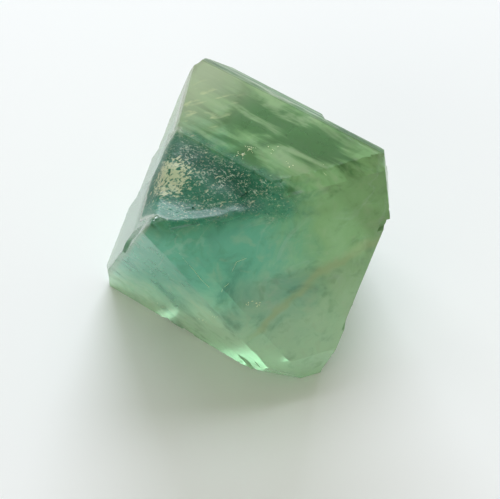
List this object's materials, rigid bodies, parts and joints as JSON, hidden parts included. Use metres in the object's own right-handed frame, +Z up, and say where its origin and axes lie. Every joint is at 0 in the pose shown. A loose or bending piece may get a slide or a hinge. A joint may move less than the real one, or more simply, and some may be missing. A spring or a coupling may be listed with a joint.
{
  "type": "fluorite octahedron",
  "caption": "Clear green fluorite crystal, a cleaved octahedron lying on one face, with blunted corners, ledges and a splintered hollow across one top edge; a specimen to show or handle.",
  "frame": {"origin": "on the table, under the middle of the outline seen from above", "axes": "+Z up, square to the resting face; -Y towards the viewer of the picture; +X to that viewer's right"},
  "size_m": [0.028, 0.027, 0.0215],
  "materials": {
    "fluorite": "vitreous cleavage faces, clear green with veils and zones, splintery and matt where it is broken"
  },
  "bodies": {
    "root": {"fluorite_octahedron": "fluorite"}
  },
  "joints": []
}
